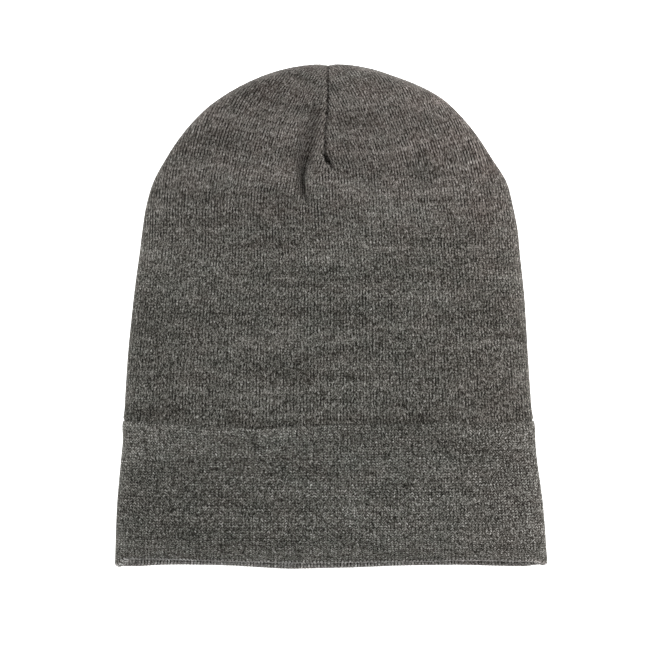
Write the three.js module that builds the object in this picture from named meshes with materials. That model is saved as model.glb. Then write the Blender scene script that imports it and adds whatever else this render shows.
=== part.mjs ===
// A fine-knit beanie laid flat with its front face up, its cuff turned up all round.
// X runs across the hat, Y from the opening (-Y) to the top of the crown (+Y), Z is up.
// The origin lies under the middle of the hat, on the surface that the hat rests on.
// All sizes are in millimetres. A height h is measured along Y from the lowest point of the rim.

import * as THREE from "three";

// Driving dimensions
const HAT_LENGTH = 257.8;
const KNIT_WALL = 2.0;
const LAYER_GAP = 0.4;
const CUFF_HEIGHT = 75.5;
const CROWN_FOOT = 7.5;

// The two layers at the cuff, crown and cuff, with the gap between them
const UNDER_CUFF = KNIT_WALL + LAYER_GAP;
const FOLD_DEPTH = UNDER_CUFF + KNIT_WALL;

// Shape of a cross-section: how square its sides are, and how much of its underside lies flat
const FRONT_SQUARENESS = 3.2;
const BACK_SQUARENESS = 5;
const BACK_FLATTENING = 1.12;

// The length over which the top of the crown rounds over, and over which it swells above the cuff
const TOP_ROUNDING = 13;
const SWELL_LENGTH = 4;
const SWELL_START = CUFF_HEIGHT - 1;

// The rim: the front fold stops short of the back one, which is lowest left of the middle
const RIM = {
  front: 4.1,
  backCorner: 2.3,
  backLowX: -12,
  backLowWidth: 52,
  evensOutBy: 22,
};

// The lobes on both sides of the dart leave a notch in the outline
const NOTCH = { x: -1.2, width: 3.2, depth: 1.1, reach: 14 };

// The hat's outline and loft: half widths left and right of the middle, the height of the front
// above the floor and the height of the side folds above the floor
const SECTIONS = [
  { h: 0.0, left: 110.5, right: 110.3, top: 21.8, side: 9.0 },
  { h: 32.0, left: 108.9, right: 108.1, top: 23.4, side: 9.0 },
  { h: 56.0, left: 106.9, right: 105.2, top: 24.0, side: 9.0 },
  { h: 74.0, left: 106.2, right: 103.8, top: 23.8, side: 9.0 },
  { h: 80.0, left: 105.3, right: 102.7, top: 23.0, side: 8.9 },
  { h: 90.0, left: 104.8, right: 102.1, top: 22.2, side: 8.8 },
  { h: 110.0, left: 103.5, right: 100.7, top: 21.2, side: 8.5 },
  { h: 136.0, left: 100.3, right: 98.9, top: 20.6, side: 8.2 },
  { h: 160.0, left: 97.8, right: 96.4, top: 20.1, side: 8.0 },
  { h: 173.0, left: 95.7, right: 95.3, top: 19.9, side: 7.9 },
  { h: 185.0, left: 94.1, right: 92.9, top: 19.7, side: 7.8 },
  { h: 197.0, left: 90.5, right: 89.8, top: 19.5, side: 7.7 },
  { h: 209.0, left: 84.1, right: 82.4, top: 19.3, side: 7.6 },
  { h: 222.0, left: 75.5, right: 73.7, top: 19.0, side: 7.4 },
  { h: 234.0, left: 64.4, right: 63.6, top: 18.6, side: 7.2 },
  { h: 241.0, left: 55.4, right: 55.1, top: 18.2, side: 7.0 },
  { h: 247.0, left: 44.9, right: 44.0, top: 17.8, side: 7.0 },
  { h: 251.0, left: 36.4, right: 33.2, top: 17.4, side: 7.0 },
  { h: 255.0, left: 23.6, right: 20.4, top: 17.0, side: 7.0 },
  { h: HAT_LENGTH, left: 0.0, right: 0.0, top: 16.8, side: 7.0 },
];

// Folds of the front, each a straight furrow from one point to another. A negative depth is a ridge.
const FOLDS = [
  { name: "dart seam, upper", x0: -1.2, h0: 258, x1: -1.5, h1: 232, width: 1.7, depth: 1.3 },
  { name: "dart seam, lower", x0: -1.5, h0: 232, x1: -2.8, h1: 215, width: 1.7, depth: 1.4 },
  { name: "dart point", x0: -3.6, h0: 211.5, x1: 0.6, h1: 205, width: 2.6, depth: 2.4 },
  { name: "pleat, upper", x0: -8.4, h0: 229, x1: -13.8, h1: 213, width: 3.0, depth: 1.3 },
  { name: "pleat, middle", x0: -13.8, h0: 213, x1: -14, h1: 196, width: 3.2, depth: 2.5 },
  { name: "pleat, lower", x0: -14, h0: 196, x1: -11, h1: 184, width: 2.8, depth: 1.2 },
  { name: "ridge by the pleat", x0: -8, h0: 222, x1: -8, h1: 200, width: 4.0, depth: -0.9 },
];

// Rings of the crown's wall, band by band from its foot up to where its top rounds over
const CROWN_BANDS = [
  { from: CROWN_FOOT, to: CUFF_HEIGHT - 2, rings: 4 },
  { from: CUFF_HEIGHT - 2, to: CUFF_HEIGHT + 8, rings: 5 },
  { from: CUFF_HEIGHT + 8, to: 182, rings: 7 },
  { from: 182, to: 236, rings: 15 },
];
const TOP_BAND = { from: 236, rings: 9 };

// Points round a ring, on the front half and on the back half
const FRONT_STEPS = 36;
const BACK_STEPS = 18;
const CROWDING = 0.8;

const KNIT_COLOUR = 0x58564f;

const outline = new THREE.CubicInterpolant(
  SECTIONS.map((row) => row.h),
  SECTIONS.flatMap((row) => [row.left ** 2, row.right ** 2, row.top, row.side]),
  4,
);

// The half widths are interpolated as squares, which keeps the top of the crown round.
function sectionAt(h) {
  const [left, right, top, side] = outline.evaluate(THREE.MathUtils.clamp(h, 0, HAT_LENGTH));
  return { left: Math.sqrt(Math.max(left, 0)), right: Math.sqrt(Math.max(right, 0)), top, side };
}

// How full the section is: 1 along the hat, falling to 0 as the top rounds over.
function fullnessAt(h) {
  const into = THREE.MathUtils.clamp((HAT_LENGTH - h) / TOP_ROUNDING, 0, 1);
  return Math.sqrt(1 - (1 - into) ** 2);
}

function heightsAt(h) {
  const { top, side } = sectionAt(h);
  const fullness = fullnessAt(h);
  return { top: side + (top - side) * fullness, floor: side * (1 - fullness), side };
}

// The ring at height h, moved inwards by inset along the wall's normal.
function ringAt(h, inset) {
  const step = 0.05;
  const [below, above] = [h - step, Math.min(h + step, HAT_LENGTH)];
  const span = above - below;
  const { left, right } = sectionAt(h);
  const narrowing = (sectionAt(below).left - sectionAt(above).left) / span;
  const sinking = (heightsAt(below).top - heightsAt(above).top) / span;
  const sideways = 1 / Math.hypot(1, narrowing);
  const upwards = 1 / Math.hypot(1, sinking);
  const { top, floor, side } = heightsAt(h);
  const lengthways = narrowing * sideways;
  return {
    h: h - inset * Math.max(0, lengthways),
    left: Math.max(left - inset * sideways, 0),
    right: Math.max(right - inset * sideways, 0),
    top: Math.max(top - inset * upwards, side),
    floor: Math.min(floor + inset * upwards, side),
    side,
  };
}

// Where a point sits across the hat, from -1 at the left fold to 1 at the right one. The steps
// crowd together at the middle, where the dart is, and at the side folds.
function acrossAt(t) {
  return t - (CROWDING * Math.sin(2 * Math.PI * t)) / (2 * Math.PI);
}

// The points round a ring, from the left fold over the front to the right fold and back below.
function places() {
  const front = Array.from({ length: FRONT_STEPS }, (_, i) => {
    return { across: acrossAt((2 * i) / FRONT_STEPS - 1), front: true };
  });
  const back = Array.from({ length: BACK_STEPS }, (_, i) => {
    return { across: Math.cos((Math.PI * i) / BACK_STEPS), front: false };
  });
  return [...front, ...back];
}

// The curve of the section: 0 at a side fold, 1 where it is fullest.
function loftAt({ across, front }) {
  const squareness = front ? FRONT_SQUARENESS : BACK_SQUARENESS;
  const loft = Math.sqrt(Math.max(1 - Math.abs(across) ** squareness, 0));
  return front ? loft : Math.min(1, BACK_FLATTENING * loft);
}

// The depth of the front's folds at one spot.
function foldDepth(x, h) {
  let furrow = 0;
  let ridge = 0;
  for (const { x0, h0, x1, h1, width, depth } of FOLDS) {
    const [dx, dh] = [x1 - x0, h1 - h0];
    const along = THREE.MathUtils.clamp(((x - x0) * dx + (h - h0) * dh) / (dx * dx + dh * dh), 0, 1);
    const away = Math.hypot(x - x0 - along * dx, h - h0 - along * dh);
    const deep = depth * Math.exp(-((away / width) ** 2));
    furrow = Math.max(furrow, deep);
    ridge = Math.min(ridge, deep);
  }
  return furrow + ridge * Math.max(0, 1 - furrow);
}

// How far the rim is drawn up at one place round it.
function rimLift(place, x) {
  if (Math.abs(place.across) === 1) return (RIM.front + RIM.backCorner) / 2;
  if (place.front) return RIM.front;
  return RIM.backCorner * (1 - Math.exp(-(((x - RIM.backLowX) / RIM.backLowWidth) ** 2)));
}

// A point of the hat in its own frame.
function pointAt(ring, place) {
  const x = place.across * (place.across < 0 ? ring.left : ring.right);
  const loft = loftAt(place);
  const z = place.front
    ? ring.side + (ring.top - ring.side) * loft
    : ring.side - (ring.side - ring.floor) * loft;
  const lift = rimLift(place, x) * Math.max(0, 1 - ring.h / RIM.evensOutBy) ** 2;
  const fold = place.front ? foldDepth(x, ring.h) : 0;
  const nearTop = Math.max(0, 1 - (HAT_LENGTH - ring.h) / NOTCH.reach);
  const notch = NOTCH.depth * nearTop * Math.exp(-(((x - NOTCH.x) / NOTCH.width) ** 2));
  return new THREE.Vector3(x, ring.h + lift - notch - HAT_LENGTH / 2, z - fold * loft);
}

// A closed surface over rows of points: neighbouring rows are joined, each row closes on itself.
function surfaceOf(rows, closesOnItself) {
  const around = rows[0].length;
  const points = rows.flat();
  const faces = [];
  const lastRow = closesOnItself ? rows.length : rows.length - 1;
  for (let row = 0; row < lastRow; row++) {
    const here = row * around;
    const next = ((row + 1) % rows.length) * around;
    for (let i = 0; i < around; i++) {
      const j = (i + 1) % around;
      faces.push(here + i, here + j, next + j, here + i, next + j, next + i);
    }
  }
  return { points, faces };
}

// Closes one end of a surface with a fan of faces round a single point.
function addFan({ points, faces }, firstOfRow, around, tip, turned) {
  const centre = points.push(tip) - 1;
  for (let i = 0; i < around; i++) {
    const j = (i + 1) % around;
    const [a, b] = turned ? [j, i] : [i, j];
    faces.push(firstOfRow + a, firstOfRow + b, centre);
  }
}

function geometryOf({ points, faces }) {
  const geometry = new THREE.BufferGeometry().setFromPoints(points);
  geometry.setIndex(faces);
  geometry.computeVertexNormals();
  return geometry;
}

function knitMesh(name, geometry) {
  const material = new THREE.MeshStandardMaterial({
    color: KNIT_COLOUR,
    roughness: 0.95,
    metalness: 0,
  });
  const mesh = new THREE.Mesh(geometry, material);
  mesh.name = name;
  return mesh;
}

// The crown's outer side lies under the cuff as far as the cuff reaches, then swells out.
function crownInset(h) {
  return UNDER_CUFF * (1 - THREE.MathUtils.smoothstep(h, SWELL_START, SWELL_START + SWELL_LENGTH));
}

function crownHeights() {
  const heights = CROWN_BANDS.flatMap(({ from, to, rings }) => {
    return Array.from({ length: rings }, (_, i) => from + ((to - from) * i) / rings);
  });
  const reach = HAT_LENGTH - TOP_BAND.from;
  for (let i = 0; i < TOP_BAND.rings; i++) {
    heights.push(TOP_BAND.from + reach * Math.sin((Math.PI / 2) * (i / TOP_BAND.rings)));
  }
  return heights;
}

function crown() {
  const round = places();
  const heights = crownHeights();
  const rowAt = (h, inset) => round.map((place) => pointAt(ringAt(h, inset), place));
  const outside = heights.map((h) => rowAt(h, crownInset(h)));
  const inside = heights.map((h) => rowAt(h, crownInset(h) + KNIT_WALL));
  const rows = [...inside.reverse(), ...outside];
  const surface = surfaceOf(rows, false);
  const tipAt = (inset) => pointAt(ringAt(HAT_LENGTH, inset), { across: 0, front: true });
  addFan(surface, 0, round.length, tipAt(KNIT_WALL), true);
  addFan(surface, (rows.length - 1) * round.length, round.length, tipAt(0), false);
  return knitMesh("crown", geometryOf(surface));
}

// The cuff's wall in section: up the outside, over the top edge, down behind the crown's wall
// to its foot, across under it, and round the rolled fold of the rim.
function cuffProfile() {
  const steps = (count) => Array.from({ length: count }, (_, i) => i / count);
  const foldRadius = FOLD_DEPTH / 2;
  const edgeRadius = KNIT_WALL / 2;
  const behindCrown = CROWN_FOOT - LAYER_GAP;
  const outside = steps(8).map((t) => {
    return { inset: 0, h: THREE.MathUtils.lerp(foldRadius, CUFF_HEIGHT - edgeRadius, t) };
  });
  const topEdge = steps(4).map((t) => {
    const turn = Math.PI * t;
    return {
      inset: edgeRadius * (1 - Math.cos(turn)),
      h: CUFF_HEIGHT - edgeRadius * (1 - Math.sin(turn)),
    };
  });
  const inside = steps(6).map((t) => {
    return { inset: KNIT_WALL, h: THREE.MathUtils.lerp(CUFF_HEIGHT - edgeRadius, behindCrown, t) };
  });
  const shelf = [
    { inset: KNIT_WALL, h: behindCrown },
    { inset: FOLD_DEPTH, h: behindCrown },
  ];
  const fold = steps(6).map((t) => {
    const turn = Math.PI * t;
    return {
      inset: foldRadius * (1 + Math.cos(turn)),
      h: foldRadius * (1 - Math.sin(turn)),
    };
  });
  return [...outside, ...topEdge, ...inside, ...shelf, ...fold];
}

function cuff() {
  const round = places();
  const rows = cuffProfile().map(({ inset, h }) => {
    const ring = ringAt(h, inset);
    return round.map((place) => pointAt(ring, place));
  });
  return knitMesh("cuff", geometryOf(surfaceOf(rows, true)));
}

const hat = new THREE.Group();
hat.add(crown(), cuff());

export default hat;
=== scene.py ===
"""A fine-knit beanie in heather charcoal, laid flat with its front face up and its cuff turned up.

The meshes follow the knitting: their columns run along the wales, the columns of stitches, and
their rows along the courses, the rows of stitches. So the wales lean into the dart and are cut by
its seam as in the real crown, and a UV map that counts wales and courses carries the stitches.

Lengths are millimetres until a mesh is made. A height h is measured from the rim's lowest point
towards the top of the crown.
"""

import bpy
import numpy as np
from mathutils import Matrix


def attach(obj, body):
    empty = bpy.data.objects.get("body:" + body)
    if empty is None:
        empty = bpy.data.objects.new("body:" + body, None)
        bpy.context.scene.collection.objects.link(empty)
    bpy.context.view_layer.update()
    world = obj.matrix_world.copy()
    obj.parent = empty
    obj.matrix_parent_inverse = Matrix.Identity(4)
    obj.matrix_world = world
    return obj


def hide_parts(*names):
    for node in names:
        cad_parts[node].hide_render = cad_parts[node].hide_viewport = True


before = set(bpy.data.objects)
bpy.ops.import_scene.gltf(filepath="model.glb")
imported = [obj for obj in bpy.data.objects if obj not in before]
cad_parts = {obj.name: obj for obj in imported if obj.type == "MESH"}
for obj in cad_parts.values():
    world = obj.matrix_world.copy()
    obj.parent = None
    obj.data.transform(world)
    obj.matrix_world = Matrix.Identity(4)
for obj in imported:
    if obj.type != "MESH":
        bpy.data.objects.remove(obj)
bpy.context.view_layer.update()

MM = 0.001

# Sizes of the hat, as in its solids
HAT_LENGTH = 257.8
KNIT_WALL = 2.0
LAYER_GAP = 0.4
CUFF_HEIGHT = 75.5
CROWN_FOOT = 7.5
UNDER_CUFF = KNIT_WALL + LAYER_GAP
FOLD_DEPTH = UNDER_CUFF + KNIT_WALL
FRONT_SQUARENESS = 3.2
BACK_SQUARENESS = 5.0
BACK_FLATTENING = 1.12
TOP_ROUNDING = 13.0
# The front's loft as a share of half its width, near enough to measure its arc by
LOFT_SHARE = 0.14
ARC_STEPS = 400
SLOPE_STEP = 0.05
NOTCH = dict(x=-1.4, width=3.0, depth=0.8, reach=14.0)

# Outline and loft: h, half width left and right, height of the front, height of the side folds
SECTIONS = np.array([
    (0.0, 110.0, 110.8, 21.8, 9.0),
    (32.0, 108.9, 108.5, 23.4, 9.0),
    (56.0, 106.8, 105.3, 24.0, 9.0),
    (66.0, 105.9, 104.5, 23.9, 9.0),
    (74.0, 106.2, 104.2, 23.8, 9.0),
    (80.0, 105.2, 102.8, 23.0, 8.9),
    (90.0, 104.6, 102.0, 22.2, 8.8),
    (110.0, 103.3, 100.7, 21.2, 8.5),
    (136.0, 100.7, 99.2, 20.6, 8.2),
    (147.0, 99.4, 98.2, 20.3, 8.1),
    (160.0, 97.6, 96.8, 20.1, 8.0),
    (173.0, 96.0, 95.6, 19.9, 7.9),
    (185.0, 94.1, 93.2, 19.7, 7.8),
    (197.0, 90.6, 90.1, 19.5, 7.7),
    (209.0, 84.2, 82.7, 19.3, 7.6),
    (222.0, 75.5, 74.2, 19.0, 7.4),
    (234.0, 64.5, 63.9, 18.6, 7.2),
    (241.0, 55.4, 55.7, 18.2, 7.0),
    (247.0, 45.1, 44.3, 17.8, 7.0),
    (251.0, 36.4, 34.0, 17.4, 7.0),
    (255.0, 24.4, 22.0, 17.0, 7.0),
    (HAT_LENGTH, 0.0, 0.0, 16.8, 7.0),
])

# The rim: x, and how far the front's fold and the back's lie above the lowest point
RIM = np.array([
    (-104.0, 5.5, 0.3),
    (-85.0, 5.9, 1.1),
    (-60.0, 5.4, 0.9),
    (-47.0, 5.1, 0.4),
    (-35.0, 4.9, -0.3),
    (-22.0, 4.6, -1.0),
    (-5.0, 4.5, -0.7),
    (10.0, 4.8, -0.4),
    (25.0, 5.0, 0.2),
    (40.0, 5.0, 0.7),
    (65.0, 5.5, 1.0),
    (85.0, 5.1, 0.6),
    (104.0, 4.1, 0.5),
])
# How far the side folds lie above that point, from which share of the way across the rim goes over
# to them, and the height at which all of this has evened out
RIM_SIDE = dict(left=1.1, right=1.9)
RIM_SIDE_STARTS = dict(front=0.95, back=0.90)
RIM_EVENS_OUT_BY = 22.0

# Folds of the front, as rows along each: x, h, width to the left, width to the right, and the depth
# of a furrow or the height of a ridge
FURROWS = dict(
    pleat=[
        (-8.6, 236.0, 4.5, 3.0, 0.3),
        (-7.9, 231.0, 6.0, 2.6, 1.4),
        (-7.8, 226.6, 8.5, 2.4, 2.8),
        (-8.3, 220.0, 10.2, 2.4, 4.5),
        (-9.3, 214.5, 10.8, 2.2, 5.3),
        (-11.2, 208.7, 9.0, 1.8, 5.9),
        (-13.0, 203.0, 7.2, 1.4, 6.0),
        (-13.4, 196.6, 5.4, 1.3, 4.8),
        (-12.8, 191.6, 3.7, 1.2, 3.4),
        (-11.9, 187.6, 2.6, 1.3, 2.2),
        (-10.8, 183.5, 2.0, 1.4, 1.0),
    ],
    dart_point=[
        (-4.3, 211.4, 0.8, 1.1, 1.8),
        (-3.0, 208.8, 1.0, 1.7, 3.8),
        (-1.5, 206.2, 1.2, 2.0, 4.0),
        (0.9, 203.6, 1.1, 1.5, 2.5),
    ],
    upper_crease=[
        (1.6, 223.7, 1.5, 1.5, 0.7),
        (7.0, 225.0, 1.5, 1.5, 1.4),
        (11.5, 225.4, 1.5, 1.5, 0.5),
    ],
    next_crease=[
        (14.0, 226.0, 1.5, 1.5, 0.5),
        (18.0, 226.5, 1.5, 1.5, 1.2),
        (22.5, 227.0, 1.5, 1.5, 0.4),
    ],
    middle_crease=[
        (4.0, 212.6, 1.6, 1.6, 0.3),
        (13.0, 212.8, 1.4, 1.4, 0.8),
        (22.0, 213.2, 1.6, 1.6, 0.3),
    ],
    lower_crease=[
        (3.5, 198.4, 1.5, 1.5, 0.5),
        (11.0, 198.6, 1.3, 1.3, 1.4),
        (19.0, 199.9, 1.5, 1.5, 0.5),
    ],
    left_crease=[
        (-86.0, 175.0, 2.2, 2.2, 0.3),
        (-73.0, 170.9, 1.6, 1.6, 1.2),
        (-63.0, 167.4, 2.2, 2.2, 0.3),
    ],
)
RIDGES = dict(
    beside_pleat=[
        (-4.6, 233.0, 2.2, 2.0, 0.3),
        (-5.2, 227.0, 2.2, 2.2, 1.0),
        (-5.8, 220.0, 2.4, 2.6, 1.2),
        (-7.8, 211.0, 2.8, 4.0, 1.6),
        (-9.2, 202.0, 3.0, 5.0, 1.8),
        (-9.4, 193.0, 3.0, 5.5, 1.2),
    ],
    dart_lip=[(-5.0, 212.5, 1.6, 1.0, 0.8), (-3.9, 207.0, 1.6, 1.0, 0.8)],
    seam_left=[(-13.0, 251.0, 7.0, 7.5, 0.9), (-13.0, 238.0, 7.0, 7.5, 0.8)],
    seam_right=[(8.5, 252.0, 4.5, 6.0, 1.0), (7.5, 234.0, 4.5, 6.0, 1.0), (6.0, 224.0, 4.0, 5.0, 0.4)],
)

# Folds of up to the first width have a sharp bottom, and those of the second or more a round one
FOLD_WIDTHS = (5.0, 8.0)
FOLD_POWERS = (1.65, 2.3)
# A furrow this deep leaves nothing of a ridge beside it, and all folds end this near the top
RIDGE_YIELDS_TO = 2.0
FOLDS_END = 2.5

# The middle seam of the front: where it runs, from h to h, and its groove
SEAM_LINE = np.array([
    (150.0, 0.0),
    (197.0, -2.4),
    (217.0, -2.8),
    (227.0, -2.3),
    (233.0, -1.5),
    (HAT_LENGTH, -1.3),
])
SEAM_GROOVE = dict(depth=1.7, width=0.8, opens_at=204.0, opens_over=7.0, back_depth=0.9)
# Its stitches draw it in unevenly: the mean share of its depth, what it varies by and two lengths
SEAM_STITCHES = dict(mean=0.85, varies=0.2, lengths=(0.9, 3.1))

# The cuff's upper edge thins by this much over this height, and the crown hollows above it
CUFF_EDGE = dict(thins_by=1.5, over=9.0, crown_rises=1.35, hollow=13.0)
# The hollow is less deep at the sides, by this share, from and to this far across
HOLLOW_AT_SIDES = dict(less_by=0.85, across=(0.85, 0.99))
# Its outer face bends in by this much over the last of its height
CUFF_SHOULDER = dict(inset=0.35, over=4.5)
# How far the upper edge lies below its mean height: x, on the front and on the back
CUFF_DIPS = np.array([
    (-108.0, -0.3, -0.3),
    (-92.0, 0.0, -0.2),
    (-70.0, 1.7, 0.4),
    (-40.0, 2.8, 0.6),
    (-12.0, 1.8, 0.2),
    (20.0, 0.9, -0.2),
    (55.0, 0.7, 0.3),
    (85.0, 0.2, 0.5),
    (108.0, -0.2, -0.2),
])

# Small ripples of the same edge: height, length and phase. Dips and ripples fade over this height
CUFF_RIPPLES = ((0.22, 4.1, 0.6), (0.18, 9.7, 2.0))
CUFF_WAVES_OVER = 30.0

# The knitting: wales in a quarter of the way round, size of a course on crown and cuff
QUARTER_WALES = 64
CROWN_COURSE = 1.29
CROWN_COURSES_START = CUFF_HEIGHT - 2.5
CROWN_COURSE_EASE = dict(extra=2.0, over=25.0)
CUFF_COURSE = 1.385
RIB_RELIEF = 0.16
TIP_CLEARANCE = 0.9

# How far the wales lean to the middle: h, slope on the left and on the right
WALE_LEAN = np.array([
    (165.0, 0.00, 0.00),
    (175.0, 0.02, 0.03),
    (184.0, 0.07, 0.07),
    (199.0, 0.24, 0.14),
    (210.0, 0.28, 0.27),
    (220.0, 0.32, 0.35),
    (230.0, 0.43, 0.45),
    (240.0, 0.55, 0.50),
    (HAT_LENGTH, 0.66, 0.60),
])
# Up to the dart's point the wales that are lost go into the pleat on the left and into gathers on
# the right, from and to this far from the middle. Above it the dart's seam cuts them.
DART = dict(point=203.0, opens_over=12.0)
GATHER = dict(left=(10.4, 14.4), right=(8.0, 62.0))
LEAN_EASE = dict(left=(20.0, 115.0), right=(65.0, 115.0))
LEAN_EASED_BY = 0.75
# How finely the lean is tabulated by height and by distance, and up to which distance
HEIGHT_STEPS = 400
AWAY_STEPS = 1400
FARTHEST = 140.0
COURSE_TILT = 0.55
SIDE_SEAM_FROM = 165.0
BEND_COUNTS_OVER = 20.0
# How finely a course is walked to find its wales, how often its climb is worked out again, and how
# many wales from a seam the nearest column lies
WALK_STEPS = 700
WALK_ROUNDS = 25
NEAREST_SEAM = 0.2

# The photograph: its side in pixels, the size of one pixel, and the pixel over the hat's middle. The
# camera's scale holds at the height of the outline
PHOTO_SIDE = 660
PIXEL = 0.51
MIDDLE_PIXEL = (330.5, 316.0)
LENS = 85.0
SENSOR = 36.0
OUTLINE_RISE = 8.5

# The studio: the world's strength, and each lamp's name, place in metres, size in metres and watts
WORLD_STRENGTH = 0.20
LAMPS = (
    ("left", (-1.20, 0.30, 0.40), 0.5, 20.7),
    ("right", (1.20, -0.10, 0.35), 0.5, 18.0),
    ("near right", (0.45, 0.35, 0.42), 0.4, 6.0),
    ("top", (-0.80, 1.05, 0.75), 0.6, 4.2),
    ("rim", (-0.45, -1.15, 0.34), 0.6, 5.4),
)
FLOOR_REACH = 20.0


def curve_through(heights, values):
    """A smooth curve through the rows of a table, with the slopes of its neighbours' chords."""
    slopes = np.gradient(values, heights, axis=0)
    slopes[1:-1] = (values[2:] - values[:-2]) / (heights[2:] - heights[:-2])[:, None]

    def at(h):
        h = np.clip(h, heights[0], heights[-1])
        i = np.clip(np.searchsorted(heights, h, side="right") - 1, 0, len(heights) - 2)
        span = heights[i + 1] - heights[i]
        t = ((h - heights[i]) / span)[..., None]
        span = span[..., None]
        start, end = values[i], values[i + 1]
        bend_in, bend_out = slopes[i] * span, slopes[i + 1] * span
        return (
            start * (1 + 2 * t) * (1 - t) ** 2
            + bend_in * t * (1 - t) ** 2
            + end * t ** 2 * (3 - 2 * t)
            - bend_out * t ** 2 * (1 - t)
        )

    return at


squared = SECTIONS[:, 1:].copy()
squared[:, :2] **= 2
section_curve = curve_through(SECTIONS[:, 0], squared)
seam_curve = curve_through(SEAM_LINE[:, 0], SEAM_LINE[:, 1:])
rim_curve = curve_through(RIM[:, 0], RIM[:, 1:])
dip_curve = curve_through(CUFF_DIPS[:, 0], CUFF_DIPS[:, 1:])


def smoothstep(low, high, x):
    t = np.clip((x - low) / (high - low), 0, 1)
    return t * t * (3 - 2 * t)


def section(h):
    """Half widths, height of the front and height of the side folds at h."""
    left, right, top, side = np.moveaxis(section_curve(h), -1, 0)
    into = np.clip((HAT_LENGTH - h) / TOP_ROUNDING, 0, 1)
    fullness = np.sqrt(1 - (1 - into) ** 2)
    return dict(
        left=np.sqrt(np.maximum(left, 0)),
        right=np.sqrt(np.maximum(right, 0)),
        top=side + (top - side) * fullness,
        floor=side * (1 - fullness),
        side=side,
    )


def ring(h, inset):
    """The section at h moved inwards by inset along the wall's normal."""
    h = np.asarray(h, float)
    next_h = np.minimum(h + SLOPE_STEP, HAT_LENGTH)
    below, above = section(h - SLOPE_STEP), section(next_h)
    span = next_h - h + SLOPE_STEP
    narrowing = (below["left"] - above["left"]) / span
    sinking = (below["top"] - above["top"]) / span
    sideways, upwards = 1 / np.hypot(1, narrowing), 1 / np.hypot(1, sinking)
    here = section(h)
    return dict(
        h=h - inset * np.maximum(0, narrowing * sideways),
        left=np.maximum(here["left"] - inset * sideways, 0),
        right=np.maximum(here["right"] - inset * sideways, 0),
        top=np.maximum(here["top"] - inset * upwards, here["side"]),
        floor=np.minimum(here["floor"] + inset * upwards, here["side"]),
        side=here["side"],
    )


def arc_table():
    """The way from the middle of the front to its side fold: its length, and how far across it is."""
    across = np.sin(np.linspace(0, np.pi / 2, ARC_STEPS))
    loft = LOFT_SHARE * np.sqrt(1 - across ** FRONT_SQUARENESS)
    steps = np.hypot(np.diff(across), np.diff(loft))
    length = np.concatenate([[0], np.cumsum(steps)])
    return length[-1], length / length[-1], across


ARC_LENGTH, ARC_SHARE, ARC_ACROSS = arc_table()


def fold_depth(rows, x, h):
    """Depth of a fold at each point: a line through its rows, softer on one side than the other."""
    deepest = np.zeros_like(x)
    for start, end in zip(rows[:-1], rows[1:]):
        dx, dh = end[0] - start[0], end[1] - start[1]
        part = np.clip(((x - start[0]) * dx + (h - start[1]) * dh) / (dx * dx + dh * dh), 0, 1)
        away_x, away_h = x - start[0] - part * dx, h - start[1] - part * dh
        left, right, depth = (start[k] + part * (end[k] - start[k]) for k in (2, 3, 4))
        width = np.where(away_x < 0, left, right)
        power = np.interp(width, FOLD_WIDTHS, FOLD_POWERS)
        profile = np.exp(-((np.hypot(away_x, away_h) / width) ** power))
        deepest = np.maximum(deepest, depth * profile)
    return deepest


def deepest_fold(folds, x, h):
    return np.max([fold_depth(rows, x, h) for rows in folds.values()], axis=0)


def rim_lift(x, h, front, across):
    """How far the rim's fold, and less and less what lies above it, is raised along the hat."""
    lift = rim_curve(x)[..., 0 if front else 1]
    at_side = smoothstep(RIM_SIDE_STARTS["front" if front else "back"], 1.0, across)
    side = np.where(x < 0, RIM_SIDE["left"], RIM_SIDE["right"])
    lift = lift + (side - lift) * at_side
    return lift * np.maximum(0, 1 - h / RIM_EVENS_OUT_BY) ** 2


def top_notch(x, h):
    near_top = np.maximum(0, 1 - (HAT_LENGTH - h) / NOTCH["reach"])
    return NOTCH["depth"] * near_top * np.exp(-(((x - NOTCH["x"]) / NOTCH["width"]) ** 2))


def seam_groove(from_seam, h, front):
    """Depth of the groove where the dart's two edges are sewn together."""
    opened = smoothstep(SEAM_GROOVE["opens_at"], SEAM_GROOVE["opens_at"] + SEAM_GROOVE["opens_over"], h)
    depth = SEAM_GROOVE["depth"] if front else SEAM_GROOVE["back_depth"]
    short, long = SEAM_STITCHES["lengths"]
    varies = SEAM_STITCHES["varies"] * np.sin(h / short) * np.sin(h / long)
    depth = depth * (SEAM_STITCHES["mean"] + varies)
    return depth * opened * np.exp(-((from_seam / SEAM_GROOVE["width"]) ** 2))


def folds_of_front(x, h):
    """How deep the front's folds lie below its plain shape."""
    furrow = deepest_fold(FURROWS, x, h)
    return furrow - deepest_fold(RIDGES, x, h) * np.maximum(0, 1 - furrow / RIDGE_YIELDS_TO)


def surface_point(rings, across, right, front, folds=True):
    """Points of the hat in the hat's own frame. across runs from 0 at the middle to 1 at a side."""
    from_seam = np.where(right, rings["right"] * across, -rings["left"] * across)
    squareness = FRONT_SQUARENESS if front else BACK_SQUARENESS
    loft = np.sqrt(np.maximum(1 - across ** squareness, 0))
    h, side = rings["h"], rings["side"]
    x = from_seam + seam_curve(h)[..., 0] * (1 - across ** 2) ** 2
    if front:
        z = side + (rings["top"] - side) * loft
    else:
        loft = np.minimum(1, BACK_FLATTENING * loft)
        z = side - (side - rings["floor"]) * loft
    y = h + rim_lift(x, h, front, across) - top_notch(x, h) - HAT_LENGTH / 2
    if folds:
        groove = seam_groove(from_seam, h, front)
        away_from_top = smoothstep(0, FOLDS_END, HAT_LENGTH - h)
        if front:
            z = z - np.maximum(groove, folds_of_front(x, h)) * loft * away_from_top
        else:
            z = z + groove * loft * away_from_top
    return np.stack([x, y, z], -1)


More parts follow.
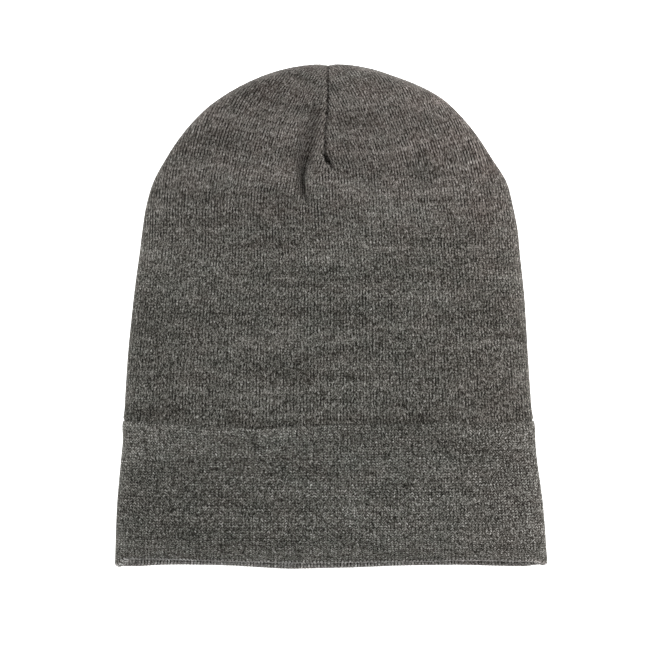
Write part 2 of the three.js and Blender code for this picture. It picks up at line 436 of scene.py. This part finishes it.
def running_sum(values, steps):
    """The integral of values over steps, from the first step to each."""
    between = (values[1:] + values[:-1]) / 2 * np.diff(steps)
    return np.concatenate([[0], np.cumsum(between)])


def lean_tables(side_name, column):
    """Lean and its integral by height, and the shares of it that act at a distance from the middle."""
    heights = np.linspace(WALE_LEAN[0, 0], HAT_LENGTH, HEIGHT_STEPS)
    lean = np.interp(heights, WALE_LEAN[:, 0], WALE_LEAN[:, column])
    away = np.linspace(0, FARTHEST, AWAY_STEPS)
    eased = 1 - LEAN_EASED_BY * smoothstep(*LEAN_EASE[side_name], away)
    gathered = eased * smoothstep(*GATHER[side_name], away)
    return dict(
        heights=heights, lean=lean, reach=running_sum(lean, heights), away=away, eased=eased,
        gathered=gathered, eased_sum=running_sum(eased, away), gathered_sum=running_sum(gathered, away),
    )


SIDES = ("left", "right")
LEANS = {name: lean_tables(name, column) for column, name in enumerate(SIDES, start=1)}


def dart_share(h):
    """The share of the lost wales that the dart's seam takes at h. The rest lies in the folds."""
    return 1 - np.exp(-np.maximum(h - DART["point"], 0) / DART["opens_over"])


def drawn_in(away, h, side_name):
    """How far a wale is drawn to the middle, where away is its distance from the middle."""
    table = LEANS[side_name]
    reach = np.interp(h, table["heights"], table["reach"], left=0.0)
    by_seam = dart_share(h) * np.interp(away, table["away"], table["eased"])
    by_folds = (1 - dart_share(h)) * np.interp(away, table["away"], table["gathered"])
    return reach * (by_seam + by_folds)


def course_rise(away, h, side_name):
    """How far a course climbs above its height at the middle, square to the leaning wales."""
    table = LEANS[side_name]
    lean = np.interp(h, table["heights"], table["lean"], left=0.0)
    by_seam = dart_share(h) * np.interp(away, table["away"], table["eased_sum"])
    by_folds = (1 - dart_share(h)) * np.interp(away, table["away"], table["gathered_sum"])
    return COURSE_TILT * lean * (by_seam + by_folds)


def half_arc(h, side_name):
    return ARC_LENGTH * section(h)[side_name]


def wale_width(h, side_name):
    """Width of a wale: the wales share the arc, up to where the side seam starts to cut them."""
    h = np.minimum(h, SIDE_SEAM_FROM)
    arc = half_arc(h, side_name)
    return (arc + drawn_in(arc, h, side_name)) / QUARTER_WALES


def crown_course_height(course):
    ease = CROWN_COURSE_EASE
    eased = ease["extra"] * (1 - np.exp(-np.maximum(course, 0) / ease["over"]))
    return CROWN_COURSES_START + CROWN_COURSE * course + eased


def wale_paths(courses, side_name):
    """Where each half wale crosses each course on one side of the crown.

    Returns away (arc from the middle), h and the wale count, a row for each course, for columns
    0 (middle seam), the half wales between, and the last (side seam), and a mask of the half wales
    that the two seams leave.
    """
    wales = np.arange(2 * QUARTER_WALES + 1) / 2.0
    shape = (len(courses), len(wales))
    away, h, counts = np.zeros(shape), np.zeros(shape), np.zeros(shape)
    kept = np.zeros(shape, bool)
    walk = np.linspace(0, ARC_LENGTH * SECTIONS[:, 1:3].max() + 2, WALK_STEPS)
    for row, middle_h in enumerate(crown_course_height(courses)):
        walk_h = np.full_like(walk, middle_h)
        for _ in range(WALK_ROUNDS):
            walk_h = middle_h + course_rise(walk, walk_h, side_name)
        walk_h = np.minimum(walk_h, HAT_LENGTH)
        short_by = half_arc(walk_h, side_name) - walk
        end = max(1, np.argmax(short_by <= 0))
        part = short_by[end - 1] / (short_by[end - 1] - short_by[end])
        edge = walk[end - 1] + part * (walk[end] - walk[end - 1])
        along = np.append(walk[:end], edge)
        along_h = np.append(walk_h[:end], np.interp(edge, walk, walk_h))
        count = (along + drawn_in(along, along_h, side_name)) / wale_width(along_h, side_name)
        away[row] = np.interp(wales, count, along)
        h[row] = np.interp(wales, count, along_h)
        counts[row] = wales
        between = (wales > count[0] + NEAREST_SEAM) & (wales < count[-1] - NEAREST_SEAM)
        kept[row, 1:-1] = between[1:-1]
        away[row, [0, -1]] = 0, edge
        h[row, [0, -1]] = along_h[[0, -1]]
        counts[row, [0, -1]] = count[[0, -1]]
    return away, h, counts, np.logical_and.accumulate(kept, axis=0)


class MeshParts:
    """Collects the points and faces of one closed mesh, with a UV for each face corner."""

    def __init__(self):
        self.points, self.faces, self.uvs, self.relief = [], [], [], []
        self.count = 0

    def add_points(self, points, relief=0.0):
        points = np.asarray(points, float).reshape(-1, 3)
        self.points.append(points)
        self.relief.append(np.broadcast_to(np.asarray(relief, float), (len(points),)))
        self.count += len(points)
        return np.arange(self.count - len(points), self.count)

    def add_face(self, corners, uvs, turned):
        if turned:
            corners, uvs = corners[::-1], uvs[::-1]
        self.faces.append(tuple(int(c) for c in corners))
        self.uvs.extend(uvs)

    def build(self, name):
        points = np.concatenate(self.points)
        relief = np.concatenate(self.relief)
        mesh = bpy.data.meshes.new(name)
        mesh.from_pydata((points * MM).tolist(), [], self.faces)
        normals = np.empty(len(points) * 3)
        mesh.vertex_normals.foreach_get("vector", normals)
        raised = points + normals.reshape(-1, 3) * relief[:, None]
        mesh.vertices.foreach_set("co", (raised * MM).ravel())
        layer = mesh.uv_layers.new(name="knit")
        layer.uv.foreach_set("vector", np.array(self.uvs, float).ravel())
        mesh.shade_smooth()
        mesh.update()
        piece = bpy.data.objects.new(name, mesh)
        bpy.context.scene.collection.objects.link(piece)
        return piece


def zip_rows(lower, upper):
    """Faces between two rows, each a list of the columns from seam to seam.

    The upper row has the same columns or fewer at either end. Yields lists of (row, place).
    """
    first, last = upper[1], upper[-2]
    start = lower.index(first)
    end = lower.index(last)
    for k in range(start):
        yield [(0, k), (0, k + 1), (1, 0)]
    yield [(0, start), (1, 1), (1, 0)]
    for k in range(end - start):
        yield [(0, start + k), (0, start + k + 1), (1, k + 2), (1, k + 1)]
    top = len(upper) - 1
    yield [(0, end), (1, top), (1, top - 1)]
    for k in range(end, len(lower) - 1):
        yield [(0, k), (0, k + 1), (1, top)]


def way_round(wale, front, right):
    """Counts a wale from the middle of the front: up to the right, down to the left, on to the back."""
    ahead = wale if front else 2 * QUARTER_WALES - wale
    return ahead if right else -ahead


def courses_in_bend(points):
    """Courses that each wale has more than its rows, because it climbs or drops along its way."""
    steps = np.diff(points, axis=0)
    longer = np.linalg.norm(steps, axis=-1) - np.linalg.norm(steps[..., :2], axis=-1)
    return np.concatenate([np.zeros((1, points.shape[1])), np.cumsum(longer, axis=0)]) / CROWN_COURSE


def wales_in_bend(points, away, h, side_name):
    """Wales that a course has more where the crown's edge bends down more than the body's."""
    steps = np.linalg.norm(np.diff(points, axis=1), axis=-1)
    longer = np.maximum(0, steps - np.hypot(np.diff(away, axis=1), np.diff(h, axis=1)))
    total = np.concatenate([np.zeros((len(points), 1)), np.cumsum(longer, axis=1)], axis=1)
    above = smoothstep(SIDE_SEAM_FROM, SIDE_SEAM_FROM + BEND_COUNTS_OVER, h)
    return above * total / wale_width(h, side_name)


def quarter_surface(path, courses, inset_at, front, side_name):
    """The points of a quarter of the crown, and their UVs: how many wales round and courses up."""
    away, h, counts, _ = path
    right = side_name == "right"
    share = np.clip(away / np.maximum(half_arc(h, side_name), 1e-6), 0, 1)
    across = np.interp(share, ARC_SHARE, ARC_ACROSS)
    rings = ring(h, inset_at(h, across))
    plain = surface_point(rings, across, right, front, folds=False)
    wales = way_round(counts + wales_in_bend(plain, away, h, side_name), front, right)
    uvs = np.stack([wales, courses[:, None] + courses_in_bend(plain)], -1)
    return surface_point(rings, across, right, front), uvs


def seam_to_seam(kept_row):
    """The columns of a course: the middle seam's, those that the seams leave, and the side seam's."""
    return [0, *np.flatnonzero(kept_row), len(kept_row) - 1]


def add_quarter_faces(parts, quarter, tip, turned):
    """Joins each course of a quarter to the next, and the last one to the tip."""
    ids, kept, uvs = quarter
    columns = [seam_to_seam(row) for row in kept]
    for row in range(len(ids) - 1):
        pair = (columns[row], columns[row + 1])
        for corners in zip_rows(*pair):
            where = [(row + up, pair[up][k]) for up, k in corners]
            parts.add_face([ids[w] for w in where], [tuple(uvs[w]) for w in where], turned)
    last_ids, last_uvs = ids[-1], uvs[-1]
    for a, b in zip(columns[-1][:-1], columns[-1][1:]):
        (u, v), beside = last_uvs[a], tuple(last_uvs[b])
        parts.add_face([last_ids[a], last_ids[b], tip], [(u, v), beside, (u, v + 1)], turned)


def crown_layer(parts, courses, inset_at, relief, inner):
    """One surface of the crown's wall, outer or inner.

    Returns for each quarter the ids of its points, the mask of the points that the seams leave, and
    the points' UVs.
    """
    paths = {name: wale_paths(courses, name) for name in SIDES}
    seams = {}
    quarters = {}
    for front in (True, False):
        for name in SIDES:
            kept = paths[name][-1]
            points, uvs = quarter_surface(paths[name], courses, inset_at, front, name)
            sunk = (np.arange(kept.shape[1]) % 2 - 1.0) * relief
            ids = np.full(kept.shape, -1)
            ids[kept] = parts.add_points(points[kept], np.broadcast_to(sunk, kept.shape)[kept])
            middle = "front" if front else "back"
            if middle not in seams:
                seams[middle] = parts.add_points(points[:, 0], -relief)
            if name not in seams:
                seams[name] = parts.add_points(points[:, -1])
            ids[:, 0] = seams[middle]
            ids[:, -1] = seams[name]
            quarters[front, name] = (ids, kept, uvs)
    tip_ring = ring(np.array([HAT_LENGTH]), inset_at(np.array([HAT_LENGTH]), 0.0))
    tip = parts.add_points(surface_point(tip_ring, np.zeros(1), True, True, folds=False))[0]
    for (front, name), quarter in quarters.items():
        turned = (front == (name == "right")) == inner
        add_quarter_faces(parts, quarter, tip, turned)
    return quarters


# The quarters in order round the hat: front or not, side, and whether its columns run backwards
QUARTERS_IN_ORDER = (
    (True, "right", False),
    (False, "right", True),
    (False, "left", False),
    (True, "left", True),
)


def ring_order(quarters):
    """The lowest ring of a crown layer, all the way round, as (point, wale count)."""
    order = []
    for front, name, backwards in QUARTERS_IN_ORDER:
        ids, kept, uvs = quarters[front, name]
        line = seam_to_seam(kept[0])
        if backwards:
            line = line[::-1]
        order += [(ids[0, c], uvs[0, c, 0]) for c in line[:-1]]
    return order


def crown_inset(h, across):
    """The crown lies inside the cuff, nears the outline where the cuff thins, and reaches it above."""
    inside = UNDER_CUFF - CUFF_EDGE["crown_rises"] * smoothstep(
        CUFF_HEIGHT - CUFF_EDGE["over"], CUFF_HEIGHT + 1.0, h
    )
    at_sides = smoothstep(*HOLLOW_AT_SIDES["across"], across)
    hollow = CUFF_EDGE["hollow"] * (1 - HOLLOW_AT_SIDES["less_by"] * at_sides)
    return inside * (1 - smoothstep(CUFF_HEIGHT, CUFF_HEIGHT + hollow, h))


def inner_inset(h, across):
    return crown_inset(h, across) + KNIT_WALL


def cuff_edge_wave(x, h, front):
    """The cuff's upper edge isn't straight: it dips and rises as it goes round."""
    dips = dip_curve(x)[..., 0 if front else 1]
    ripple = sum(height * np.sin(x / length + phase) for height, length, phase in CUFF_RIPPLES)
    return (ripple - dips) * smoothstep(CUFF_HEIGHT - CUFF_WAVES_OVER, CUFF_HEIGHT, h)


def make_crown():
    """The crown's wall: an outer and an inner surface, joined round the foot inside the cuff."""
    parts = MeshParts()
    foot = (CROWN_FOOT - CROWN_COURSES_START) / CROWN_COURSE
    last_h = HAT_LENGTH - TIP_CLEARANCE - CROWN_COURSE_EASE["extra"]
    top = int((last_h - CROWN_COURSES_START) / CROWN_COURSE)

    # Few rows inside the cuff, two to a course where the crown leaves it, then one to a course
    hidden = np.linspace(foot, 0, 9)[:-1]
    outer_courses = np.concatenate([hidden, np.arange(0.0, 4.0, 0.5), np.arange(4.0, top + 1)])
    inner_courses = np.concatenate([hidden[::2], np.arange(0.0, top - 3, 4)])
    outer = crown_layer(parts, outer_courses, crown_inset, RIB_RELIEF, False)
    inner = crown_layer(parts, inner_courses, inner_inset, 0.0, True)
    out_ring, in_ring = ring_order(outer), ring_order(inner)
    for k, (point, wale) in enumerate(out_ring):
        after, wale_after = out_ring[(k + 1) % len(out_ring)]
        inside, inside_after = in_ring[k][0], in_ring[(k + 1) % len(in_ring)][0]
        low = outer_courses[0]
        uvs = [(wale, low), (wale, low - 1), (wale_after, low - 1), (wale_after, low)]
        parts.add_face([point, inside, inside_after, after], uvs, False)
    return parts.build("crown_knit")


def shoulder(h):
    """How far the cuff's outer face lies inside the outline at h."""
    start = CUFF_HEIGHT - CUFF_SHOULDER["over"]
    return CUFF_SHOULDER["inset"] * max(0.0, (h - start) / CUFF_SHOULDER["over"]) ** 2


def cuff_profile():
    """The cuff's wall in section as rows of inset, h and share of the ribs' relief.

    It runs up the outside, round the thinned edge, down the inside to the shelf below the crown's
    foot, over the shelf to the inside of the rim, and round the rim's fold.
    """
    radius = FOLD_DEPTH / 2
    edge = (KNIT_WALL - CUFF_EDGE["thins_by"]) / 2
    shelf = CROWN_FOOT - LAYER_GAP
    rows = round((CUFF_HEIGHT - edge - radius) / CUFF_COURSE)
    outside = [(shoulder(h), h, 1.0) for h in np.linspace(radius, CUFF_HEIGHT - edge, rows + 1)]
    bent_in = outside[-1][0]
    turn = np.linspace(0, np.pi, 7)[1:]
    top_edge = [
        (bent_in + edge * (1 - np.cos(t)), CUFF_HEIGHT - edge * (1 - np.sin(t)), 0.5) for t in turn
    ]
    start = top_edge[-1][0]
    thinned = np.linspace(0, 1, 6)[1:]
    below_edge = CUFF_HEIGHT - edge - 1 - (CUFF_EDGE["over"] - 1) * thinned
    inner = [(start + (KNIT_WALL - start) * t, h, 0.0) for t, h in zip(thinned, below_edge)]
    inside = inner + [(KNIT_WALL, h, 0.0) for h in np.linspace(inner[-1][1], shelf, 6)[1:]]
    step = [(inset, shelf, 0.0) for inset in np.linspace(KNIT_WALL, FOLD_DEPTH, 3)[1:]]
    facing = [(FOLD_DEPTH, h, 0.6) for h in np.linspace(shelf, radius, 4)[1:]]
    turn = np.linspace(0, np.pi, 8)[1:-1]
    fold = [(radius * (1 + np.cos(t)), radius * (1 - np.sin(t)), 1.0) for t in turn]
    return np.array(outside + top_edge + inside + step + facing + fold)


def cuff_courses():
    """The count of courses at each row of the cuff's section, and where the section closes."""
    rows = cuff_profile()[:, :2]
    lengths = np.hypot(*np.diff(np.vstack([rows, rows[:1]]), axis=0).T)
    return np.concatenate([[0], np.cumsum(lengths)]) / CUFF_COURSE


def cuff_columns():
    """The half wales all the way round: number, front or not, right or not, and wale count."""
    columns = []
    for front, name, backwards in QUARTERS_IN_ORDER:
        right = name == "right"
        half_wales = np.arange(2 * QUARTER_WALES + 1)
        half_wales = half_wales[:0:-1] if backwards else half_wales[:-1]
        columns += [(k, front, right, way_round(k / 2, front, right)) for k in half_wales]
    return columns


def add_cuff_faces(parts, ids, counts, courses):
    """Joins the rows round the section and the columns round the hat."""
    for r in range(len(ids)):
        after = (r + 1) % len(ids)
        v, v_after = courses[r], courses[r + 1]
        for c in range(len(counts)):
            d = (c + 1) % len(counts)
            u, u_after = counts[c], counts[d]
            # At the middle of the back the count goes over to the other side's
            if abs(u_after - u) > 1:
                u_after = u + 0.5
            corners = [ids[r, c], ids[r, d], ids[after, d], ids[after, c]]
            uvs = [(u, v), (u_after, v), (u_after, v_after), (u, v_after)]
            parts.add_face(corners, uvs, False)


def make_cuff():
    """The cuff: its section carried round the hat, with the wavy upper edge."""
    parts = MeshParts()
    profile = cuff_profile()
    columns = cuff_columns()
    rings = ring(profile[:, 1], profile[:, 0])
    ids = np.empty((len(profile), len(columns)), int)
    for c, (k, front, right, _) in enumerate(columns):
        across = np.interp(k / (2 * QUARTER_WALES), ARC_SHARE, ARC_ACROSS)
        points = surface_point(rings, np.full(len(profile), across), right, front, folds=False)
        points[:, 1] += cuff_edge_wave(points[:, 0], profile[:, 1], front)
        ids[:, c] = parts.add_points(points, profile[:, 2] * RIB_RELIEF * (k % 2 - 1.0))
    add_cuff_faces(parts, ids, [column[-1] for column in columns], cuff_courses())
    return parts.build("cuff_knit")


class Shade:
    """Short ways to add nodes to a material."""

    def __init__(self, name):
        self.material = bpy.data.materials.new(name)
        self.material.use_nodes = True
        self.tree = self.material.node_tree
        self.tree.nodes.clear()

    def node(self, kind, inputs=(), **settings):
        node = self.tree.nodes.new(kind)
        for key, value in settings.items():
            setattr(node, key, value)
        for key, value in dict(inputs).items():
            if isinstance(value, bpy.types.NodeSocket):
                self.tree.links.new(value, node.inputs[key])
            else:
                node.inputs[key].default_value = value
        return node

    def math(self, operation, *values):
        return self.node("ShaderNodeMath", enumerate(values), operation=operation).outputs[0]

    def remap(self, value, low, high, to_low, to_high):
        names = ("Value", "From Min", "From Max", "To Min", "To Max")
        inputs = zip(names, (value, low, high, to_low, to_high))
        return self.node("ShaderNodeMapRange", inputs).outputs["Result"]

    def vector(self, x, y, z=0.0):
        return self.node("ShaderNodeCombineXYZ", enumerate((x, y, z))).outputs[0]

    def noise(self, vector, scale, detail=2.0, roughness=0.5):
        inputs = {"Vector": vector, "Scale": scale, "Detail": detail, "Roughness": roughness}
        return self.node("ShaderNodeTexNoise", inputs).outputs["Fac"]

    def random(self, vector):
        return self.node("ShaderNodeTexWhiteNoise", {"Vector": vector}).outputs["Value"]

    def ramp(self, value, stops):
        node = self.node("ShaderNodeValToRGB", {"Fac": value})
        elements = node.color_ramp.elements
        while len(elements) < len(stops):
            elements.new(1.0)
        for element, (position, colour) in zip(elements, stops):
            element.position = position
            element.color = (*colour, 1.0)
        return node.outputs["Color"]


# The cuff's wall from its lowest outer row round the upper edge to the rim's fold, in courses
CUFF_ROUND = cuff_courses()[-1]

# How a knit looks. Shades are as the eye sees them, from 0 for black to 1 for white: the yarn's mean
# shade, how much each kind of unevenness adds, and the depth of the painted shade in the gaps beside a
# wale and between courses. That painted shade differs by the stitch, from least to least plus spread.
# Of two values the second holds after the courses named by second: the crown's top, and the inside
# of the rim. Steps change the shade along the courses: from, to and by how much. Most of them paint
# light or shade, as marked.
CROWN_LOOK = dict(
    leg_slope=0.615, shade=0.285, leg=0.14, fibre=(1.36, 0.88), fibre_across=3.35, fibre_along=2.2,
    course=0.15, streak=0.21, cloud=0.16, beside=(0.70, 1.18), over=(0.45, 0.42), least=-0.33,
    spread=1.45, wale_round=1.72, course_round=4.7, split=0.65, relief=0.28, second=(60.0, 105.0),
    red=(0.0065, 0.018), blue=(-0.021, -0.018),
    steps=[
        # Painted shade: the crown stays darker just above the cuff's upper edge, which shades it
        (3.0, 12.0, 0.022),
        (26.0, 36.0, -0.010),
        # Painted light: the dome is lighter, as where more light falls on it
        (60.0, 105.0, 0.030),
        # Painted shade: the very top is darker, taking back the top lamp's light where it turns down
        (120.0, 137.0, -0.036),
    ],
)
CUFF_LOOK = dict(
    leg_slope=-0.68, shade=0.308, leg=0.15, fibre=(1.50, 1.20), fibre_across=3.0, fibre_along=2.6,
    course=0.14, streak=0.16, cloud=0.10, beside=(0.15, 0.95), over=(0.52, 0.50), least=-0.30,
    spread=1.92, wale_round=2.45, course_round=2.16, split=0.37, relief=0.54,
    second=(CUFF_ROUND - 9.0, CUFF_ROUND - 7.0), red=(0.004, 0.010), blue=(-0.021, -0.018),
    steps=[
        # Painted light: the cuff is lighter just below its upper edge, where the raised edge catches
        # light
        (44.0, 51.0, 0.016),
        # Painted light: the inside of the rim, which the front's layer shades, and the fold's edge are
        # lightened, up to where the next step ends it
        (CUFF_ROUND - 7.5, CUFF_ROUND - 5.5, 0.235),
        (CUFF_ROUND - 1.4, CUFF_ROUND - 0.5, -0.245),
    ],
)
LIGHTNESS = 0.576
DARKEST = 0.05
EYE_POWER = 2.2
NOISE_RANGE = (0.25, 0.75)
# Heights in a stitch: how sharply its two legs part, the share of the height that dips between
# courses, and the mean heights beside the wale and along the course, at which the painted shade of
# the gaps starts
SPLIT_SHARPNESS = 6.0
COURSE_SHARE = 0.7
MEAN_BESIDE = 0.66
MEAN_OVER = 0.7
# The fibres' share in the bump, the depth of the yarn in metres, and how rough its dark and its pale
# fibres are
FIBRE_RELIEF = 0.4
YARN_DEPTH = 0.0004
FIBRE_RANGE = (0.2, 0.8)
ROUGHNESS = (0.98, 0.84)
# How far the hue drifts slowly to and fro
HUE_DRIFT = (0.006, 0.009)
# Painted light: how much redder the yarn is made at the front's right side, standing in for warmer
# light from the right, and the wales over which that comes and goes
WARM_LIGHT_PAINTED_AT_RIGHT = dict(by=0.007, comes=(20.0, 50.0), goes=(78.0, 108.0))
# Unevenness over longer stretches of yarn: how fast it changes by the wale and by the course, where
# in the noise it lies, its detail and its roughness
STRETCHES = dict(
    course=(0.040, 0.60, 12.3, 1.0, 0.5),
    streak=(0.030, 0.13, 3.1, 2.0, 0.6),
    cloud=(0.013, 0.036, 5.7, 2.0, 0.5),
    drift=(0.11, 0.14, 9.9, 2.0, 0.5),
)


def stitch_coordinates(s, leg_slope):
    """Splits the stitch-counting UV map into wale, course and the place inside one leg of a V."""
    uv = s.node("ShaderNodeUVMap", uv_map="knit").outputs["UV"]
    split = s.node("ShaderNodeSeparateXYZ", {"Vector": uv})
    u, v = split.outputs["X"], split.outputs["Y"]
    signed = s.math("SUBTRACT", s.math("FRACT", u), 0.5)
    off = s.math("MULTIPLY", s.math("ABSOLUTE", signed), 2.0)
    phase = s.math("SUBTRACT", v, s.math("MULTIPLY", off, leg_slope))
    return dict(
        u=u, v=v, wale=s.math("FLOOR", u), leg=s.math("SIGN", signed), off=off, phase=phase,
        course=s.math("FLOOR", phase), in_course=s.math("FRACT", phase),
    )


def stitch_height(s, at, look):
    """How high the yarn stands: a V of two legs, with a deep gap on either side of the wale."""
    swing = s.math("SUBTRACT", s.math("MULTIPLY", at["in_course"], 2.0), 1.0)
    over = s.math("SUBTRACT", 1.0, s.math("POWER", s.math("ABSOLUTE", swing), look["course_round"]))
    beside = s.math("SUBTRACT", 1.0, s.math("POWER", at["off"], look["wale_round"]))
    middle = s.math("POWER", s.math("SUBTRACT", 1.0, at["off"]), SPLIT_SHARPNESS)
    split = s.math("SUBTRACT", 1.0, s.math("MULTIPLY", middle, look["split"]))
    beside = s.math("MULTIPLY", beside, split)
    round_course = s.math("ADD", s.math("MULTIPLY", over, COURSE_SHARE), 1 - COURSE_SHARE)
    return beside, over, s.math("MULTIPLY", beside, round_course)


def painted_gap_shade(s, at, look, beside, over, second, seed):
    """Painted shade in the gaps beside wales and between courses, of a depth that differs by the
    stitch.
    """
    stitch = s.random(s.vector(at["wale"], at["course"], seed + 7.3))
    leg = s.random(s.vector(at["wale"], at["course"], s.math("ADD", at["leg"], seed + 21.7)))
    limits = (look["least"], look["least"] + look["spread"])
    deep = s.math("SUBTRACT", beside, MEAN_BESIDE)
    deep = s.math("MULTIPLY", deep, s.remap(stitch, 0.0, 1.0, *limits))
    deep = s.math("MULTIPLY", deep, s.remap(second, 0.0, 1.0, *look["beside"]))
    cross = s.math("SUBTRACT", over, MEAN_OVER)
    cross = s.math("MULTIPLY", cross, s.remap(leg, 0.0, 1.0, *limits))
    cross = s.math("MULTIPLY", cross, s.remap(second, 0.0, 1.0, *look["over"]))
    return s.math("ADD", deep, s.math("MULTIPLY", cross, beside))


def uneven_yarn(s, at, look, seed):
    """Values from 0 to 1: each leg has its own mix of dark and pale fibres, and so have stretches."""

    def drawn_out(across, along, shift):
        return s.vector(s.math("MULTIPLY", at["u"], across), along, seed + shift)

    def stretch(across, along, shift, detail, roughness):
        place = drawn_out(across, s.math("MULTIPLY", at["v"], along), shift)
        return s.noise(place, 1.0, detail, roughness)

    fibre_along = s.math("MULTIPLY", at["phase"], look["fibre_along"])
    return dict(
        leg=s.random(s.vector(at["wale"], at["course"], s.math("ADD", at["leg"], seed))),
        fibre=s.noise(drawn_out(look["fibre_across"], fibre_along, 0.4), 1.0, 1.0, 0.6),
        **{name: stretch(*values) for name, values in STRETCHES.items()},
    )


def yarn_and_painted_light(s, at, look, yarn, painted_gap_shadow, second):
    """The shade as the eye sees it: the yarn's own, with painted shade in the gaps between its
    stitches, and the looks' steps, most of which paint light or shade.
    """
    shade = s.math("ADD", painted_gap_shadow, look["shade"])
    adds = dict(look, fibre=s.remap(second, 0.0, 1.0, *look["fibre"]))
    for name in ("leg", "fibre", "course", "streak", "cloud"):
        around_mean = s.math("SUBTRACT", yarn[name], 0.5)
        shade = s.math("ADD", shade, s.math("MULTIPLY", around_mean, adds[name]))
    for start, end, change in look["steps"]:
        shade = s.math("ADD", shade, s.remap(at["v"], start, end, 0.0, change))
    return s.math("MAXIMUM", shade, DARKEST)


def yarn_colour(s, at, look, yarn, shade, second):
    """Red and blue stand off from the shade by about as much in dark yarn as in pale."""
    swing = s.remap(yarn["drift"], *NOISE_RANGE, -1.0, 1.0)
    drift = s.math("MULTIPLY", swing, s.remap(second, 0.0, 1.0, *HUE_DRIFT))
    # Painted light: the warm tint on the right side
    comes = s.remap(at["u"], *WARM_LIGHT_PAINTED_AT_RIGHT["comes"], 0.0, WARM_LIGHT_PAINTED_AT_RIGHT["by"])
    right = s.math("MULTIPLY", comes, s.remap(at["u"], *WARM_LIGHT_PAINTED_AT_RIGHT["goes"], 1.0, 0.0))
    red = s.math("ADD", s.remap(second, 0.0, 1.0, *look["red"]), s.math("ADD", drift, right))
    blue = s.remap(second, 0.0, 1.0, *look["blue"])
    channels = (s.math("ADD", shade, red), shade, s.math("ADD", shade, blue))
    light = [s.math("POWER", channel, EYE_POWER) for channel in channels]
    return s.vector(*(s.math("MULTIPLY", channel, LIGHTNESS) for channel in light))


def knit_material(name, look, seed):
    """Stockinette in heather yarn, drawn from the UV map that counts wales and courses."""
    s = Shade(name)
    at = stitch_coordinates(s, look["leg_slope"])
    beside, over, height = stitch_height(s, at, look)
    second = s.remap(at["v"], *look["second"], 0.0, 1.0)
    yarn = uneven_yarn(s, at, look, seed)
    # Painted shade: the gaps between the stitches are darkened in the yarn's colour
    painted_gap_shadow = painted_gap_shade(s, at, look, beside, over, second, seed)
    shade = yarn_and_painted_light(s, at, look, yarn, painted_gap_shadow, second)
    relief = s.math("ADD", height, s.math("MULTIPLY", yarn["fibre"], FIBRE_RELIEF))
    bump = s.node("ShaderNodeBump", {
        "Height": relief,
        "Strength": look["relief"],
        "Distance": YARN_DEPTH,
    })
    surface = s.node("ShaderNodeBsdfPrincipled", {
        "Base Color": yarn_colour(s, at, look, yarn, shade, second),
        "Roughness": s.remap(yarn["fibre"], *FIBRE_RANGE, *ROUGHNESS),
        "Normal": bump.outputs["Normal"],
        "Specular IOR Level": 0.1,
        "Sheen Weight": 0.12,
        "Sheen Roughness": 0.5,
        "Sheen Tint": (0.9, 0.88, 0.84, 1.0),
    })
    output = s.node("ShaderNodeOutputMaterial")
    s.tree.links.new(surface.outputs["BSDF"], output.inputs["Surface"])
    return s.material


def floor_material():
    s = Shade("paper")
    grain = s.noise(s.node("ShaderNodeTexCoord").outputs["Object"], 90.0, 3.0)
    colour = s.ramp(grain, [(0.3, (0.80, 0.80, 0.80)), (0.7, (0.83, 0.83, 0.83))])
    surface = s.node("ShaderNodeBsdfPrincipled", {
        "Base Color": colour,
        "Roughness": 0.9,
        "Specular IOR Level": 0.2,
        "Emission Color": (1.0, 1.0, 1.0, 1.0),
        "Emission Strength": 1.0,
    })
    output = s.node("ShaderNodeOutputMaterial")
    s.tree.links.new(surface.outputs["BSDF"], output.inputs["Surface"])
    return s.material


def make_floor():
    mesh = bpy.data.meshes.new("floor")
    ways = ((-1, -1), (1, -1), (1, 1), (-1, 1))
    corners = [(FLOOR_REACH * x, FLOOR_REACH * y, 0) for x, y in ways]
    mesh.from_pydata(corners, [], [(0, 1, 2, 3)])
    mesh.materials.append(floor_material())
    floor = bpy.data.objects.new("floor", mesh)
    bpy.context.scene.collection.objects.link(floor)


def make_light():
    world = bpy.data.worlds.new("studio")
    world.use_nodes = True
    background = world.node_tree.nodes["Background"]
    background.inputs["Color"].default_value = (1.0, 1.0, 1.0, 1.0)
    background.inputs["Strength"].default_value = WORLD_STRENGTH
    bpy.context.scene.world = world
    for name, place, size, power in LAMPS:
        lamp = bpy.data.lights.new(name, "AREA")
        lamp.size = size
        lamp.energy = power
        holder = bpy.data.objects.new(name, lamp)
        holder.location = place
        direction = -np.array(place)
        holder.rotation_euler = (
            np.arctan2(np.hypot(direction[0], direction[1]), -direction[2]),
            0.0,
            np.arctan2(direction[1], direction[0]) - np.pi / 2,
        )
        holder.visible_camera = False
        bpy.context.scene.collection.objects.link(holder)


def make_camera():
    """Looks straight down, at the photograph's scale and place."""
    lens = bpy.data.cameras.new("camera")
    lens.lens, lens.sensor_width = LENS, SENSOR
    lens.clip_start, lens.clip_end = 0.01, 20.0
    camera = bpy.data.objects.new("camera", lens)
    centre = (PHOTO_SIDE / 2 - MIDDLE_PIXEL[0], MIDDLE_PIXEL[1] - PHOTO_SIDE / 2)
    distance = PHOTO_SIDE * PIXEL * LENS / SENSOR
    camera.location = np.array((*centre, 0)) * PIXEL * MM
    camera.location.z = (distance + OUTLINE_RISE) * MM
    bpy.context.scene.collection.objects.link(camera)
    bpy.context.scene.camera = camera


def main():
    make_camera()
    pieces = (
        (make_crown(), "crown", "crown_knit", knit_material("crown_stockinette", CROWN_LOOK, 1.0)),
        (make_cuff(), "cuff", "cuff_knit", knit_material("cuff_stockinette", CUFF_LOOK, 40.0)),
    )
    for piece, node, slot, material in pieces:
        piece.data.materials.append(material)
        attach(piece, "root")
        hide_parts(node)
    make_floor()
    make_light()
    bpy.context.scene.view_settings.view_transform = "Standard"


main()
